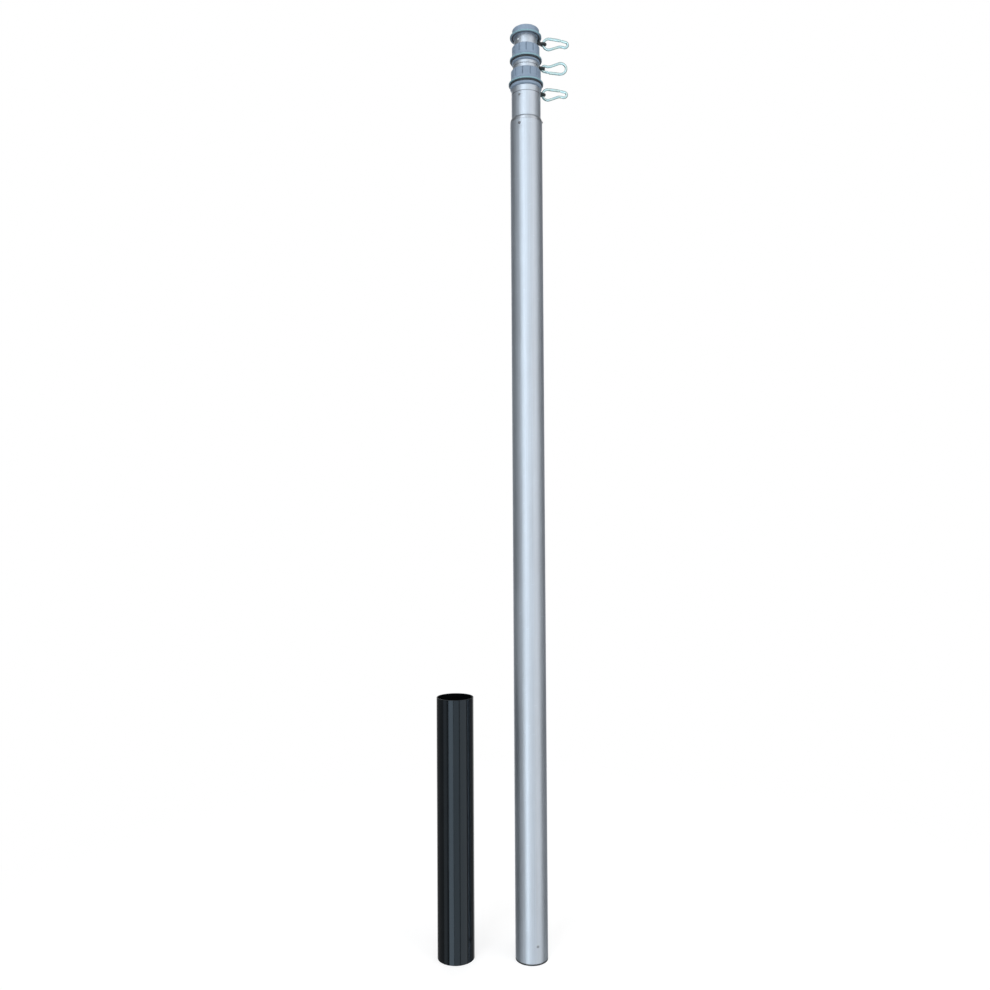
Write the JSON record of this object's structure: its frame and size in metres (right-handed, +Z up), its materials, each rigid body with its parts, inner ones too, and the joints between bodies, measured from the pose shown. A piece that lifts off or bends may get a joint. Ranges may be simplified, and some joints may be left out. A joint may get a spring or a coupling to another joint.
{
  "type": "telescoping flagpole",
  "caption": "Telescoping aluminium flagpole, pushed together, with ribbed lock nuts, swivel rings, snap hooks and a separate ground sleeve.",
  "frame": {"origin": "centre of the pole's foot, on the ground", "axes": "+Z up the pole; the viewer stands at -Y; the snap hooks point to +X"},
  "size_m": [0.2989, 0.085, 2.0158],
  "materials": {
    "satin_aluminium": "satin anodised drawn tube",
    "bright_aluminium": "machined, slightly brighter",
    "dark_steel": "darkened, half gloss",
    "bright_steel": "bright zinc",
    "black_sleeve": "gloss black",
    "black_plastic": "moulded, matt",
    "grey_plastic": "moulded, fine grain",
    "zinc_plated_steel": "bright zinc plate"
  },
  "bodies": {
    "main_pole": {"main_tube": "satin_aluminium", "foot_plug": "black_plastic", "foot_rivets": "dark_steel", "main_guide_bush": "bright_aluminium", "main_bush_rivets": "dark_steel", "main_bush_screw": "dark_steel", "ground_sleeve": "black_sleeve"},
    "second_section": {"tube_2": "satin_aluminium", "tube_2_foot_guide": "black_plastic", "tube_2_collar": "grey_plastic", "tube_2_collar_rivets": "dark_steel"},
    "third_section": {"tube_3": "satin_aluminium", "tube_3_foot_guide": "black_plastic", "tube_3_collar": "grey_plastic"},
    "fourth_section": {"tube_4": "satin_aluminium", "tube_4_foot_guide": "black_plastic", "top_cap": "grey_plastic", "top_cap_screws": "bright_steel"},
    "lower_nut": {"lower_lock_nut": "grey_plastic"},
    "upper_nut": {"upper_lock_nut": "grey_plastic"},
    "lower_ring": {"lower_flag_ring": "black_plastic"},
    "middle_ring": {"middle_flag_ring": "black_plastic"},
    "upper_ring": {"upper_flag_ring": "black_plastic"},
    "upper_hook": {"upper_hook_frame": "zinc_plated_steel", "upper_hook_gate_pin": "zinc_plated_steel"},
    "upper_gate": {"upper_hook_gate": "zinc_plated_steel"},
    "middle_hook": {"middle_hook_frame": "zinc_plated_steel", "middle_hook_gate_pin": "zinc_plated_steel"},
    "middle_gate": {"middle_hook_gate": "zinc_plated_steel"},
    "lower_hook": {"lower_hook_frame": "zinc_plated_steel", "lower_hook_gate_pin": "zinc_plated_steel"},
    "lower_gate": {"lower_hook_gate": "zinc_plated_steel"}
  },
  "joints": [
    {"name": "second_section_slide", "type": "slide", "parent": "main_pole", "child": "second_section", "axis": [0, 0, 1], "range_m": [0, 1.51]},
    {"name": "third_section_slide", "type": "slide", "parent": "second_section", "child": "third_section", "axis": [0, 0, 1], "range_m": [0, 1.51]},
    {"name": "fourth_section_slide", "type": "slide", "parent": "third_section", "child": "fourth_section", "axis": [0, 0, 1], "range_m": [0, 1.51]},
    {"name": "lower_nut_twist", "type": "hinge", "parent": "second_section", "child": "lower_nut", "pos_m": [0, 0, 1.8919], "axis": [0, 0, 1], "range_deg": [0, 75]},
    {"name": "upper_nut_twist", "type": "hinge", "parent": "third_section", "child": "upper_nut", "pos_m": [0, 0, 1.9451], "axis": [0, 0, 1], "range_deg": [0, 75]},
    {"name": "lower_ring_swivel", "type": "hinge", "parent": "second_section", "child": "lower_ring", "pos_m": [0, 0, 1.8901], "axis": [0, 0, 1], "continuous": true},
    {"name": "middle_ring_swivel", "type": "hinge", "parent": "third_section", "child": "middle_ring", "pos_m": [0, 0, 1.9433], "axis": [0, 0, 1], "continuous": true},
    {"name": "upper_ring_swivel", "type": "hinge", "parent": "fourth_section", "child": "upper_ring", "pos_m": [0, 0, 1.9924], "axis": [0, 0, 1], "continuous": true},
    {"name": "lower_hook_swing", "type": "hinge", "parent": "lower_ring", "child": "lower_hook", "pos_m": [0.05047, 0.03875, 1.8901], "axis": [0, 1, 0], "range_deg": [-45.5, 89.5]},
    {"name": "middle_hook_swing", "type": "hinge", "parent": "middle_ring", "child": "middle_hook", "pos_m": [0.04246, 0.02739, 1.9433], "axis": [0, 1, 0], "range_deg": [-75, 90]},
    {"name": "upper_hook_swing", "type": "hinge", "parent": "upper_ring", "child": "upper_hook", "pos_m": [0.05155, 0.01604, 1.9924], "axis": [0, 1, 0], "range_deg": [-47.5, 87.5]},
    {"name": "lower_gate_hinge", "type": "hinge", "parent": "lower_hook", "child": "lower_gate", "pos_m": [0.07505, 0.03875, 1.89919], "axis": [0, -1, 0], "range_deg": [0, 25], "stiffness_Nm_per_rad": 0.05, "springref_deg": -28.65},
    {"name": "middle_gate_hinge", "type": "hinge", "parent": "middle_hook", "child": "middle_gate", "pos_m": [0.05396, 0.02739, 1.934], "axis": [0, -1, 0], "range_deg": [0, 25], "stiffness_Nm_per_rad": 0.05, "springref_deg": -28.65},
    {"name": "upper_gate_hinge", "type": "hinge", "parent": "upper_hook", "child": "upper_gate", "pos_m": [0.07644, 0.01604, 2.00062], "axis": [0, -1, 0], "range_deg": [0, 25], "stiffness_Nm_per_rad": 0.05, "springref_deg": -28.65}
  ]
}
